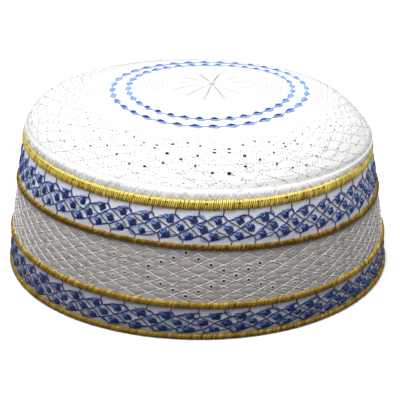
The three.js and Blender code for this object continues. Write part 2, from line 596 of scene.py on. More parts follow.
@dataclass
class NodeSheet:
    """Nodes of one material, with short names for the ones that its finish needs."""

    material: bpy.types.Material

    @classmethod
    def named(cls, name: str) -> "NodeSheet":
        """A new material with an empty sheet.

        Args:
            name: Name of the material.

        Returns:
            The empty sheet.
        """
        material = bpy.data.materials.new(name)
        material.use_nodes = True
        material.node_tree.nodes.clear()
        return cls(material)

    def node(self, kind: str, **inputs: object) -> bpy.types.Node:
        """Adds a node and sets or links its inputs.

        Args:
            kind: Type of the node.
            **inputs: Values or sockets by input name, with _ for a space.

        Returns:
            The node.
        """
        node = self.material.node_tree.nodes.new(kind)
        for name, value in inputs.items():
            self.put(node, name.replace("_", " "), value)
        return node

    def put(self, node: bpy.types.Node, name: str | int, value: object) -> None:
        """Sets a node's input, or links it where the value is a socket.

        Args:
            node: The node.
            name: Name or number of the input.
            value: The value, or the socket that gives it.
        """
        if isinstance(value, bpy.types.NodeSocket):
            self.material.node_tree.links.new(value, node.inputs[name])
        else:
            node.inputs[name].default_value = value

    def math(self, operation: str, *values: object) -> bpy.types.NodeSocket:
        """The result of a math node.

        Args:
            operation: What the node works out.
            *values: Its inputs in order.

        Returns:
            The socket with the result.
        """
        node = self.material.node_tree.nodes.new("ShaderNodeMath")
        node.operation = operation
        for index, value in enumerate(values):
            self.put(node, index, value)
        return node.outputs[0]

    def noise(self, place: bpy.types.NodeSocket, scale: float, detail: float = 3.0) -> bpy.types.NodeSocket:
        """Soft noise on a place, from 0 to 1."""
        return self.node("ShaderNodeTexNoise", Vector=place, Scale=scale, Detail=detail).outputs["Fac"]

    def mix(self, share: object, low: object, high: object) -> bpy.types.NodeSocket:
        """A colour between two.

        Args:
            share: Share of the second colour.
            low: Colour at 0.
            high: Colour at 1.

        Returns:
            The socket with the colour.
        """
        node = self.material.node_tree.nodes.new("ShaderNodeMix")
        node.data_type = "RGBA"
        self.put(node, 0, share)
        self.put(node, 6, low)
        self.put(node, 7, high)
        return node.outputs[2]

    def span(self, value: object, low: float, high: float) -> bpy.types.NodeSocket:
        """A value from 0 to 1 spread from low to high.

        Args:
            value: The value.
            low: Result at 0.
            high: Result at 1.

        Returns:
            The socket with the result.
        """
        node = self.node("ShaderNodeMapRange", Value=value)
        node.inputs["To Min"].default_value = low
        node.inputs["To Max"].default_value = high
        return node.outputs[0]

    def bump(self, height: object, strength: float, distance: float) -> bpy.types.NodeSocket:
        """A normal that follows a height, with its distance in metres."""
        node = self.node("ShaderNodeBump", Height=height, Strength=strength, Distance=distance)
        return node.outputs["Normal"]

    def surface(self, **inputs: object) -> bpy.types.Material:
        """Ends the sheet in one shader.

        Args:
            **inputs: The shader's inputs by name, with _ for a space.

        Returns:
            The finished material.
        """
        shader = self.node("ShaderNodeBsdfPrincipled", **inputs)
        out = self.node("ShaderNodeOutputMaterial")
        self.material.node_tree.links.new(shader.outputs["BSDF"], out.inputs["Surface"])
        return self.material


Colour = tuple[float, float, float, float]


@dataclass(frozen=True)
class ClothFinish:
    """Woven cotton or satin.

    Attributes:
        name: Name of the material.
        light: Colour where the slub raises the threads, a painted light on them, and of the lighter random
            patches.
        shade: Colour in the slub's hollows, a painted shade there, and in the soiled patches.
        roughness: Roughness of the cloth.
        sheen: Strength of its soft sheen.
        warp: Threads round the cap.
        weft: Threads in each millimetre along it.
        depth: Depth of the weave in millimetres.
    """

    name: str
    light: Colour
    shade: Colour
    roughness: float
    sheen: float
    warp: float
    weft: float
    depth: float

    def made(self) -> bpy.types.Material:
        """The material, with its weave on the cloth map and its patches on the cap's place.

        Returns:
            The finished material.
        """
        sheet = NodeSheet.named(self.name)
        spread = sheet.node("ShaderNodeUVMap")
        spread.uv_map = "cloth_map"
        parts = sheet.node("ShaderNodeSeparateXYZ", Vector=spread.outputs["UV"])
        place = sheet.node("ShaderNodeTexCoord").outputs["Object"]
        warp = sheet.math("SINE", sheet.math("MULTIPLY", parts.outputs["X"], self.warp * 2 * math.pi))
        weft = sheet.math("SINE", sheet.math("MULTIPLY", parts.outputs["Y"], self.weft * 2 * math.pi))
        weave = sheet.math("MULTIPLY", warp, weft)
        slub = sheet.noise(place, 900.0)
        patch = sheet.noise(place, 60.0)
        height = sheet.math("ADD", sheet.math("MULTIPLY", weave, 0.5), slub)
        # The colour follows the slub that also raises the bump: painted light where it rises, painted shade
        # in its hollows; the patches are random soiling.
        tone = sheet.math("ADD", sheet.math("MULTIPLY", slub, 0.5), sheet.math("MULTIPLY", patch, 0.5))
        return sheet.surface(
            Base_Color=sheet.mix(tone, self.shade, self.light),
            Roughness=sheet.span(slub, self.roughness - 0.06, self.roughness + 0.06),
            Sheen_Weight=self.sheen,
            Sheen_Roughness=0.4,
            Normal=sheet.bump(height, 0.6, self.depth * MM),
        )


@dataclass(frozen=True)
class ThreadFinish:
    """Embroidery thread, shaded from dark to light by each thread's own tone.

    Attributes:
        name: Name of the material.
        dark: Colour at tone 0.
        middle: Colour at tone one half.
        light: Colour at tone 1.
        roughness: Roughness of the thread.
        metal: How metallic it is.
        sheen: Strength of its soft sheen.
        drift: How much the shade changes from place to place.
        gloss: Strength of its highlights.
    """

    name: str
    dark: Colour
    middle: Colour
    light: Colour
    roughness: float
    metal: float = 0.0
    sheen: float = 0.2
    drift: float = 0.15
    gloss: float = 0.4

    def made(self) -> bpy.types.Material:
        """The material, with fine fibres and a little change of colour from place to place.

        Returns:
            The finished material.
        """
        sheet = NodeSheet.named(self.name)
        tone = sheet.node("ShaderNodeAttribute")
        tone.attribute_name = "tone"
        place = sheet.node("ShaderNodeTexCoord").outputs["Object"]
        fibre = sheet.noise(place, 2600.0, 2.0)
        patch = sheet.noise(place, 160.0)
        drift = sheet.math("MULTIPLY", sheet.math("SUBTRACT", patch, 0.5), self.drift)
        share = sheet.math("ADD", tone.outputs["Fac"], drift)
        ramp = sheet.node("ShaderNodeValToRGB", Fac=share)
        steps = ramp.color_ramp.elements
        steps[0].color = self.dark
        steps[1].color = self.light
        steps.new(0.5).color = self.middle
        return sheet.surface(
            Base_Color=ramp.outputs["Color"],
            Metallic=self.metal,
            Roughness=sheet.span(fibre, self.roughness - 0.1, self.roughness + 0.1),
            Sheen_Weight=self.sheen,
            Sheen_Roughness=0.35,
            Specular_IOR_Level=self.gloss,
            Normal=sheet.bump(fibre, 0.5, 0.08 * MM),
        )


@dataclass(frozen=True)
class FloorFinish:
    """Plain white paper."""

    name: str = "white_paper"
    colour: Colour = (0.94, 0.94, 0.94, 1.0)

    def made(self) -> bpy.types.Material:
        """The material, with a faint grain.

        Returns:
            The finished material.
        """
        sheet = NodeSheet.named(self.name)
        place = sheet.node("ShaderNodeTexCoord").outputs["Object"]
        return sheet.surface(
            Base_Color=self.colour,
            Roughness=0.8,
            Normal=sheet.bump(sheet.noise(place, 400.0), 0.1, 0.1 * MM),
        )


COTTON = ClothFinish(
    name="white_cotton",
    light=(0.95, 0.945, 0.93, 1),
    shade=(0.87, 0.86, 0.84, 1),
    roughness=0.85,
    sheen=0.15,
    warp=900,
    weft=2.2,
    depth=0.12,
)
# Quilted white cotton given a grey-beige colour: a painted shade of the shaded side wall.
QUILT = ClothFinish(
    name="quilted_cotton",
    light=(0.62, 0.585, 0.56, 1),
    shade=(0.44, 0.41, 0.385, 1),
    roughness=0.85,
    sheen=0.15,
    warp=900,
    weft=2.0,
    depth=0.15,
)
SATIN = ClothFinish(
    name="flower_satin",
    light=(0.94, 0.945, 0.99, 1),
    shade=(0.80, 0.81, 0.91, 1),
    roughness=0.45,
    sheen=0.2,
    warp=1300,
    weft=3.0,
    depth=0.08,
)
# A darker, greyer copy of the flower satin: painted shade for the lower strip.
SHADED_LOWER_SATIN = ClothFinish(
    name="lower_satin_painted_shade",
    light=(0.58, 0.58, 0.64, 1),
    shade=(0.44, 0.44, 0.52, 1),
    roughness=0.5,
    sheen=0.15,
    warp=1300,
    weft=3.0,
    depth=0.08,
)
# Near black: painted shade in the eyelets' throats and on the disc inside the cap.
THROAT_PAINTED_SHADE = ClothFinish(
    name="eyelet_throat_painted_shade",
    light=(0.045, 0.042, 0.04, 1),
    shade=(0.02, 0.019, 0.018, 1),
    roughness=0.9,
    sheen=0.0,
    warp=900,
    weft=2.0,
    depth=0.1,
)
WHITE_THREAD = ThreadFinish(
    name="white_thread",
    dark=(0.07, 0.065, 0.06, 1),
    middle=(0.66, 0.65, 0.63, 1),
    light=(0.97, 0.965, 0.95, 1),
    roughness=0.5,
)
BLUE_THREAD = ThreadFinish(
    name="blue_thread",
    dark=(0.002, 0.007, 0.075, 1),
    middle=(0.018, 0.10, 0.56, 1),
    light=(0.42, 0.63, 0.98, 1),
    roughness=0.45,
    sheen=0.02,
    gloss=0.18,
)
# A darker, duller copy of the blue thread: painted shade for the lower strip.
SHADED_LOWER_BLUE_THREAD = ThreadFinish(
    name="lower_blue_thread_painted_shade",
    dark=(0.003, 0.008, 0.06, 1),
    middle=(0.035, 0.10, 0.36, 1),
    light=(0.34, 0.48, 0.74, 1),
    roughness=0.5,
    sheen=0.02,
    gloss=0.15,
)
GOLD_THREAD = ThreadFinish(
    name="gold_thread",
    dark=(0.10, 0.045, 0.001, 1),
    middle=(0.44, 0.265, 0.025, 1),
    light=(1.0, 0.80, 0.17, 1),
    roughness=0.42,
    metal=0.35,
    sheen=0.0,
    drift=0.06,
    gloss=0.2,
)


@dataclass
class Wardrobe:
    """Finished materials, each made once."""

    made: dict[str, bpy.types.Material] = field(default_factory=dict)

    def of(self, finish: ClothFinish | ThreadFinish | FloorFinish) -> bpy.types.Material:
        """The material of a finish.

        Args:
            finish: The finish.

        Returns:
            The one material that every piece with this finish shares.
        """
        if finish.name not in self.made:
            self.made[finish.name] = finish.made()
        return self.made[finish.name]


WARDROBE = Wardrobe()


def settle(piece: bpy.types.Object, replaces: str | None = None) -> None:
    """Gives a piece its place in the frame.

    Args:
        piece: The piece, with its finish.
        replaces: The solid that the piece stands for.
    """
    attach(piece, BODY)
    if replaces:
        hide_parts(replaces)
    piece.data.calc_loop_triangles()
    LOG.info("%s: %d triangles", piece.name, len(piece.data.loop_triangles))


# Sub-assemblies


@dataclass
class GoldCord:
    """A gold cord of threads wrapped over a padded seam.

    Attributes:
        node: The solid that it replaces.
        seam: The seam that it covers.
        seed: Seed of its small irregularities.
        tone: Shade of its threads; light on the crown's cord as painted light, dark on the side cords as
            painted shade.
        shade: How much lighter a wrap is at its upper end than at its middle, and darker at its lower end:
            painted light from above and painted shade below.
        spare: How much wider than its seam it is stitched.
        pitch: Distance from one wrap to the next.
        slant: How far a wrap runs along the cord from its lower to its upper end.
        thread: Half of a wrap's depth.
        cover: Half of a wrap's width at its lower and upper end, in pitches.
    """

    node: str
    seam: Seam
    seed: int
    tone: float = 0.08
    shade: float = 0.42
    spare: float = 0.0
    pitch: float = 0.9
    slant: float = 1.5
    thread: float = 0.26
    cover: tuple[float, float] = (0.24, 0.5)

    def section(self) -> tuple[Array, Array]:
        """Radius and height along a wrap, from its lower end to its upper one.

        Returns:
            The radii and the heights on the round form.
        """
        turn = np.radians(np.linspace(-98, 98, 7))
        tilt = math.radians(self.seam.tilt)
        out = (CORD_DEPTH + GAP - self.thread) * np.cos(turn)
        up = ((self.seam.width + self.spare - self.thread) / 2) * np.sin(turn) + self.spare / 6
        radii = self.seam.cloth + out * math.cos(tilt) - up * math.sin(tilt)
        heights = self.seam.height + out * math.sin(tilt) + up * math.cos(tilt)
        return radii, heights

    def build(self) -> None:
        """Builds the wraps and the core that they cover."""
        rng = np.random.default_rng(self.seed)
        radii, heights = self.section()
        wraps = round(2 * math.pi * self.seam.radius / self.pitch)
        step = 360 / wraps
        first = step * (np.arange(wraps) + rng.uniform(-0.12, 0.12, wraps))
        slant = self.slant * (1 + rng.normal(0, 0.12, wraps)) / self.seam.radius * 180 / math.pi
        along = np.linspace(-0.5, 0.5, len(radii))
        azimuth = first[:, None] + slant[:, None] * along
        swell = 1 + 0.05 * rng.standard_normal((wraps, 1))
        centre = self.seam.cloth
        radius = centre + (radii - centre) * swell
        height = self.seam.height + (heights - self.seam.height) * swell
        paths = FORM.placed(azimuth, radius, np.maximum(height, self.thread))
        axis = FORM.placed(azimuth, np.full_like(radius, centre), np.full_like(height, self.seam.height))
        normals = unit(paths - axis)
        lumps = np.sin(np.radians(first) * 17 + rng.uniform(0, 6)) * 0.04
        tone = self.tone + lumps + rng.normal(0, 0.12, wraps)
        # Painted light and shade: each wrap lighter towards its upper end and darker towards its lower end.
        tones = tone[:, None] + self.shade * np.sin(np.linspace(-1.3, 1.3, len(radii)))
        bundle = ThreadBundle()
        width = self.pitch * np.linspace(*self.cover, len(radii))
        bundle.add(paths, normals, width, self.thread, tones, sides=5)
        self.core(bundle, radii, heights)
        settle(bundle.made(self.node + "_wrapped", GOLD_THREAD), self.node)

    def core(self, bundle: ThreadBundle, radii: Array, heights: Array) -> None:
        """Adds the padded core under the wraps, as one closed ring, dark as a painted shade in the gaps
        between them.

        Args:
            bundle: The cord's threads.
            radii: Radii along a wrap.
            heights: Heights along a wrap.
        """
        steps = 120
        azimuth = np.linspace(0, 360, steps, endpoint=False)[None, :]
        middle_radius = np.full_like(azimuth, (self.seam.cloth + radii.max()) / 2)
        middle_height = np.full_like(azimuth, (heights.max() + heights.min()) / 2)
        paths = FORM.placed(azimuth, middle_radius, middle_height)
        outward = FORM.placed(azimuth, middle_radius + 1, middle_height) - paths
        wide = (heights.max() - heights.min()) / 2 - 1.5 * self.thread
        deep = (radii.max() - self.seam.cloth) / 2 - self.thread / 2
        # Dark tone: painted shade where the core shows between the wraps.
        bundle.add(paths, unit(outward), wide, deep, 0.05, sides=8, ring=True)


@dataclass
class HemCord(GoldCord):
    """The gold cord that binds the hem, wrapped under its edge."""

    lip_radius: float = 90.9

    def section(self) -> tuple[Array, Array]:
        """Radius and height along a wrap, from inside the hem, under it and up its face.

        Returns:
            The radii and the heights on the round form.
        """
        rows = np.array(
            [
                (self.lip_radius, 1.1),
                (self.lip_radius + 0.2, self.thread),
                (93.1, self.thread),
                (93.66, 0.8),
                (93.74, 1.5),
                (93.35, 2.2),
                (92.5, 2.45),
            ]
        )
        return rows[:, 0], rows[:, 1]


# Tone of a thread in the flowers' net, how far it bends out and half of its width
DARK_THREAD = (-0.06, 0.0, 0.26)
PALE_THREADS = ((0.3, 0.65, 0.13), (0.5, -0.6, 0.11))


@dataclass
class FlowerBand:
    """A satin strip with staggered rows of blue flowers on a slanting net of blue thread.

    Attributes:
        node: The solid that it replaces.
        low: Seam below.
        high: Seam above.
        foot: Height of the strip's lower edge.
        rows: Height of each row of flowers, from the top down.
        seed: Seed of its small irregularities.
        flowers: Flowers in a row.
        shift: How far each row moves along from the row above, in flowers.
        start: Azimuth of the top row's first flower.
        tick: Place of a tick from the flower that it is beside, in flowers.
        peak: How many rows beyond the outer flowers the net reaches.
        stretch: Width and height of a flower against the usual ones.
        painted_shade_share: How much darker its pale threads are than usual, a painted shade.
        satin: Finish of the strip.
        thread: Finish of the flowers and the net.
    """

    node: str
    low: Seam
    high: Seam
    foot: float
    rows: tuple[float, ...]
    seed: int
    flowers: int = 52
    shift: float = -0.55
    start: float = -1.3
    tick: float = 0.28
    peak: float = 0.6
    stretch: tuple[float, float] = (1.0, 1.0)
    painted_shade_share: float = 0.0
    satin: ClothFinish = SATIN
    thread: ThreadFinish = BLUE_THREAD
    rng: np.random.Generator = field(init=False)

    def __post_init__(self) -> None:
        """Starts the irregularities."""
        self.rng = np.random.default_rng(self.seed)

    @property
    def pitch(self) -> float:
        """Degrees from one flower to the next."""
        return 360 / self.flowers

    @property
    def row_gap(self) -> float:
        """Height from one row of flowers to the next."""
        return (self.rows[0] - self.rows[-1]) / (len(self.rows) - 1)

    def at(self, across: Array, down: Array) -> tuple[Array, Array]:
        """Azimuth and height of a place on the net.

        Args:
            across: Flowers along the top row.
            down: Rows down from the top row.

        Returns:
            The azimuth and the height.
        """
        return self.start + (across + self.shift * down) * self.pitch, self.rows[0] - down * self.row_gap

    def relief(self, azimuth: Array, height: Array) -> Array:
        """Soft puffs between the flowers, pulled in at each one.

        Args:
            azimuth: Azimuth of each place.
            height: Height of each place.

        Returns:
            The height of the relief off the cloth.
        """
        down = (self.rows[0] - height) / self.row_gap
        across = (azimuth - self.start) / self.pitch - self.shift * down
        return -0.14 * np.cos(2 * np.pi * across)

    def build(self) -> None:
        """Builds the strip, its flowers and its net."""
        count = 26
        rows = np.linspace(self.foot, self.high.height - GAP / 2, count)
        shell = ClothShell(self.node + "_satin", rows, FORM.side, segments=416)
        cloth = shell.drawn()
        shell.shaped(cloth, self.relief)
        shell.thickened(cloth, self.satin)
        settle(cloth, self.node)
        blooms = ThreadBundle()
        self.add_flowers(blooms)
        settle(blooms.made(self.node + "_flowers", self.thread))
        net = ThreadBundle()
        self.add_net(net)
        settle(net.made(self.node + "_net", self.thread))

    def sewn(
        self,
        bundle: ThreadBundle,
        azimuth: Array,
        height: Array,
        lift: Array | float,
        width: Array | float,
        depth: Array | float,
        tones: Array | float,
    ) -> None:
        """Adds threads laid on the strip, kept between its cords.

        Args:
            bundle: Where the threads go.
            azimuth: Azimuth of each point of each thread.
            height: Height of each point.
            lift: Height of each point off the cloth.
            width: Half of the thread's width.
            depth: Half of its depth.
            tones: Shade of each point.
        """
        inside = np.clip(height, self.foot + 1.0, self.high.height - 1.0)
        paths, normals = laid(FORM.side, azimuth, inside, lift)
        bundle.add(paths, normals, width, depth, tones)

    def add_flowers(self, bundle: ThreadBundle) -> None:
        """Adds each flower's dark heart, partly painted shade, its pale patch of painted sheen and the
        painted glints between them.

        Args:
            bundle: Where the flowers go.
        """
        across, down = np.meshgrid(np.arange(self.flowers), np.arange(len(self.rows)))
        azimuth, height = self.at(across.ravel(), down.ravel())
        spots = len(azimuth)
        azimuth = azimuth + self.rng.normal(0, 0.2, spots)
        height = height + self.rng.normal(0, 0.2, spots)
        size = 1 + self.rng.normal(0, 0.09, spots)
        turn = np.radians(-32 + self.rng.normal(0, 9, spots))
        for part in (HEART, SHEEN_PATCH, GLINT):
            self.add_part(bundle, azimuth, height, size, turn, part)

    def add_part(
        self,
        bundle: ThreadBundle,
        azimuth: Array,
        height: Array,
        size: Array,
        turn: Array,
        part: "FlowerPart",
    ) -> None:
        """Adds one part of every flower.

        Args:
            bundle: Where the stitches go.
            azimuth: Azimuth of each flower.
            height: Height of each flower.
            size: Size of each flower against the usual one.
            turn: Direction of its stitches.
            part: The part of the flower.
        """
        rank = np.linspace(-0.5, 0.5, part.stitches)[None, :, None]
        run = np.linspace(-1, 1, 4)[None, None, :]
        length = part.reach * (1 - 1.6 * np.abs(rank) ** 1.3)
        length = length * (1 + self.rng.normal(0, 0.07, (len(azimuth), part.stitches, 1)))
        along, beside = run * length, rank * part.spread + 0 * run
        cos, sin = np.cos(turn)[:, None, None], np.sin(turn)[:, None, None]
        scale = size[:, None, None]
        x = (along * cos - beside * sin + part.offset[0]) * scale * self.stretch[0]
        z = (along * sin + beside * cos + part.offset[1]) * scale * self.stretch[1]
        turns = azimuth[:, None, None] + np.degrees(x / self.low.radius)
        heights = height[:, None, None] + z
        lift = np.array([-0.1, 1.0, 1.0, -0.1]) * part.lift * (1 - 0.9 * rank**2)
        # On the lower strip the tones are darkened: painted shade.
        tone = part.tone * (1 - self.painted_shade_share)
        # Alternate stitches lighter and darker: painted sheen.
        stripes = part.mottle * np.where(np.arange(part.stitches) % 2 == 0, -1.0, 1.0)[None, :, None]
        tones = tone + stripes + self.rng.normal(0, 0.08, (len(azimuth), part.stitches, 1)) + 0 * run
        shape = (len(azimuth) * part.stitches, 4)
        self.sewn(
            bundle,
            turns.reshape(shape),
            heights.reshape(shape),
            np.broadcast_to(lift, turns.shape).reshape(shape),
            part.thread,
            0.18,
            np.broadcast_to(tones, turns.shape).reshape(shape),
        )

    def add_net(self, bundle: ThreadBundle) -> None:
        """Adds the slanting threads round the flowers and the ticks that tie them to the cords.

        Args:
            bundle: Where the threads go.
        """
        last = len(self.rows) - 1
        wobble = self.rng.normal(0, 0.07, (last + 1, self.flowers))
        corners = wobble + np.arange(self.flowers) + 0.5
        after = np.roll(wobble, -1, axis=1) + np.arange(self.flowers) + 1.5
        before = np.roll(wobble, 1, axis=1) + np.arange(self.flowers) - 0.5
        for row in range(last):
            self.add_run(bundle, (corners[row], row), (corners[row + 1], row + 1))
            self.add_run(bundle, (corners[row], row), (after[row + 1], row + 1), pale=False)
        for end, way in ((0, 1), (last, -1)):
            peaks = np.arange(self.flowers) + way * (self.tick + self.shift * self.peak)
            peaks = peaks + self.rng.normal(0, 0.05, self.flowers)
            peak_row = end - way * self.peak
            self.add_run(bundle, (before[end], end), (peaks, peak_row))
            self.add_run(bundle, (corners[end], end), (peaks, peak_row))
            tips = peaks + way * (self.shift + 0.06)
            self.add_run(bundle, (peaks, peak_row), (tips, peak_row - way), pale=False)

    def add_run(
        self,
        bundle: ThreadBundle,
        start: tuple[Array, float],
        end: tuple[Array, float],
        pale: bool = True,
    ) -> None:
        """Adds a dark thread, and thin pale ones on both sides, from each start to each end.

        Args:
            bundle: Where the threads go.
            start: Place along the row and row of each start.
            end: Place along the row and row of each end.
            pale: Whether the pale threads run beside it.
        """
        run = np.linspace(0, 1, 5)
        count = (len(start[0]), 1)
        for tone, beside, thread in (DARK_THREAD, *PALE_THREADS) if pale else (DARK_THREAD,):
            across = start[0][:, None] + (end[0] - start[0])[:, None] * run
            azimuth, height = self.at(across, start[1] + (end[1] - start[1]) * run)
            bend = self.rng.normal(0.1, 0.3, count) * np.sin(np.pi * run)
            twist = self.rng.normal(0, 0.2, count) * np.sin(2 * np.pi * run)
            height = height + bend + twist + beside * np.sin(np.pi * run)
            # On the lower strip the tones are darkened: painted shade.
            tones = tone * (1 - self.painted_shade_share) + self.rng.normal(0, 0.08, count) + 0 * run
            self.sewn(bundle, azimuth, height, 0.12 + 0.1 * np.sin(np.pi * run), thread, 0.14, tones)


@dataclass(frozen=True)
class FlowerPart:
    """A patch of parallel satin stitches in a flower.

    Attributes:
        stitches: Number of stitches.
        reach: Half of the longest stitch.
        spread: Width of the patch across the stitches.
        offset: Middle of the patch from the flower's middle, across and up.
        lift: Height of the patch off the cloth.
        thread: Half of a stitch's width.
        tone: Shade of the patch.
        mottle: How much lighter and darker alternate stitches are, a painted sheen on single stitches.
    """

    stitches: int
    reach: float
    spread: float
    offset: tuple[float, float]
    lift: float
    thread: float
    tone: float
    mottle: float


# The heart's dark tone is partly the navy thread and partly painted shade; the pale patch is painted sheen
# and the glint a painted highlight.
HEART = FlowerPart(6, 2.15, 3.0, (0.25, -0.1), 0.46, 0.29, 0.02, 0.16)
SHEEN_PATCH = FlowerPart(4, 1.7, 1.8, (-1.05, 0.95), 0.42, 0.25, 0.66, 0.2)
GLINT = FlowerPart(2, 1.0, 0.5, (-0.4, 0.7), 0.7, 0.15, 1.0, 0.05)


@dataclass
class LatticeBand:
    """A quilted strip under a net of white thread, with eyelets along crossing lines.

    Attributes:
        node: The solid that it replaces.
        low: Seam below.
        high: Seam above.
        seed: Seed of its small irregularities.
        columns: Half cells round the cap.
        first: Azimuth of an eyelet at the top of a repeat.
        top: Height of the top row of eyelets.
        step: Height of half a cell.
        repeat: Half cells from one line of eyelets to the next.
        eyelet: Radius of an eyelet at the front.
        fading: Share of that radius that is left at the back, and degrees from the front that it falls over.
        puff: Height of a cell's swell, its power and how far its edge is pulled in.
    """

    node: str
    low: Seam
    high: Seam
    seed: int
    columns: int = 104
    first: float = -3.115
    top: float = 38.5
    step: float = 2.3
    repeat: int = 8
    eyelet: float = 0.68
    fading: tuple[float, float] = (0.62, 45.0)
    puff: tuple[float, float, float] = (0.56, 0.42, 0.34)
    rng: np.random.Generator = field(init=False)

    def __post_init__(self) -> None:
        """Starts the irregularities."""
        self.rng = np.random.default_rng(self.seed)

    @property
    def pitch(self) -> float:
        """Degrees across half a cell."""
        return 360 / self.columns

    def at(self, across: Array, down: Array) -> tuple[Array, Array]:
        """Azimuth and height of a place, in half cells from the first eyelet."""
        return self.first + across * self.pitch, self.top - down * self.step

    def relief(self, azimuth: Array, height: Array) -> Array:
        """Each cell puffs up between the threads of the net.

        Args:
            azimuth: Azimuth of each place.
            height: Height of each place.

        Returns:
            The height of the relief off the cloth.
        """
        across = (azimuth - self.first) / self.pitch
        down = (self.top - height) / self.step
        left = np.abs(np.sin(np.pi * (across + down) / 2 + np.pi / 2))
        right = np.abs(np.sin(np.pi * (across - down) / 2 + np.pi / 2))
        swell, power, inset = self.puff
        return swell * (left * right) ** power - inset

    def eyelets(self) -> tuple[Array, Array]:
        """Azimuth and height of each eyelet.

        Returns:
            The azimuths and the heights.
        """
        across, down = np.meshgrid(np.arange(self.columns), np.arange(self.repeat + 1))
        on_line = ((across - down) % self.repeat == 0) | ((across + down) % self.repeat == 0)
        return self.at(across[on_line], down[on_line])

    def build(self) -> None:
        """Builds the quilted strip, its net and the rims of its eyelets."""
        shell = ClothShell(self.node + "_quilt", self.mesh_rows(), FORM.side, segments=520)
        cloth = shell.drawn()
        shell.shaped(cloth, self.relief)
        azimuth, height = self.eyelets()
        holes, _ = laid(FORM.side, azimuth, height, self.relief(azimuth, height))
        kept, spread = self.fading
        sizes = self.eyelet * (kept + (1 - kept) * hump(azimuth, 0, spread))
        shell.pierced(cloth, holes, sizes)
        shell.thickened(cloth, QUILT)
        settle(cloth, self.node)
        threads = ThreadBundle()
        self.add_net(threads)
        place = self.relief(azimuth, height)
        add_rims(threads, FORM.side, (azimuth, height, place), sizes, self.rng)
        settle(threads.made(self.node + "_net", WHITE_THREAD))

    def mesh_rows(self) -> Array:
        """Height of each row of vertices, five to a half cell, with eyelets between two rows.

        Returns:
            The heights, from the foot up.
        """
        gap = self.step / 5
        foot, head = self.low.height + GAP / 2, self.high.height - GAP / 2
        first = foot + (self.top + gap / 2 - foot) % gap
        return np.concatenate([[foot], np.arange(first + 0.1, head - 0.1, gap) - 0.1, [head]])

    def add_net(self, bundle: ThreadBundle) -> None:
        """Adds the net's threads and the knots where they cross.

        Args:
            bundle: Where the threads go.
        """
        run = np.linspace(0, 1, 5)
        lowest = math.ceil((self.top - self.low.height) / self.step)
        across, down = np.meshgrid(np.arange(self.columns), np.arange(-1, lowest))
        knots = (across + down) % 2 == 1
        u, v = across[knots][:, None], down[knots][:, None]
        wander = self.rng.normal(0, 0.05, (2, *u.shape))
        for way in Turn:
            azimuth, height = self.at(u + way.value * run + wander[0], v + run + wander[1])
            height = np.clip(height, self.low.height + 1.2, self.high.height - 1.2)
            lift = np.array([-0.06, 0.14, -0.12, 0.14, -0.06])
            paths, normals = laid(FORM.side, azimuth, height, lift)
            # Lighter at the ends and darker where each thread dips in its middle: painted highlight and
            # painted shade, in bright dashes.
            tones = 0.8 + self.rng.normal(0, 0.2, (len(u), 1)) + np.array([0.2, 0.1, -0.4, 0.1, 0.2])
            bundle.add(paths, normals, np.array([0.18, 0.27, 0.09, 0.27, 0.18]), 0.22, tones)
        azimuth, height = self.at(u + np.linspace(-0.14, 0.14, 3), v + 0 * np.arange(3))
        held = (height[:, 0] > self.low.height + 1.8) & (height[:, 0] < self.high.height - 1.8)
        azimuth, height = azimuth[held], height[held]
        paths, normals = laid(FORM.side, azimuth, height, np.array([-0.1, 0.12, -0.1]))
        bundle.add(paths, normals, np.array([0.2, 0.42, 0.2]), np.array([0.1, 0.24, 0.1]), 0.98)


def add_rims(
    bundle: ThreadBundle,
    place: Place,
    middles: tuple[Array, Array, Array],
    sizes: Array,
    rng: np.random.Generator,
) -> None:
    """Adds a stitched rim round each eyelet.

    Args:
        bundle: Where the rims go.
        place: The face of the cap that the eyelets are in.
        middles: Azimuth, height or radius, and relief of each eyelet.
        sizes: Radius of each eyelet.
        rng: Source of small irregularities.
    """
    across, along, lift = middles
    middle, normal = laid(place, across, along, lift)
    side = unit(place(across + PROBE, along) - place(across, along))
    up = np.cross(normal, side)
    turn = np.linspace(0, 2 * np.pi, 8, endpoint=False)[None, :, None]
    reach = sizes[:, None, None] + 0.13 + rng.normal(0, 0.04, (len(across), 1, 1))
    paths = middle[:, None] + (side[:, None] * np.cos(turn) + up[:, None] * np.sin(turn)) * reach
    normals = np.broadcast_to(normal[:, None], paths.shape)
    bundle.add(paths, normals, 0.13, 0.12, 0.85, ring=True)


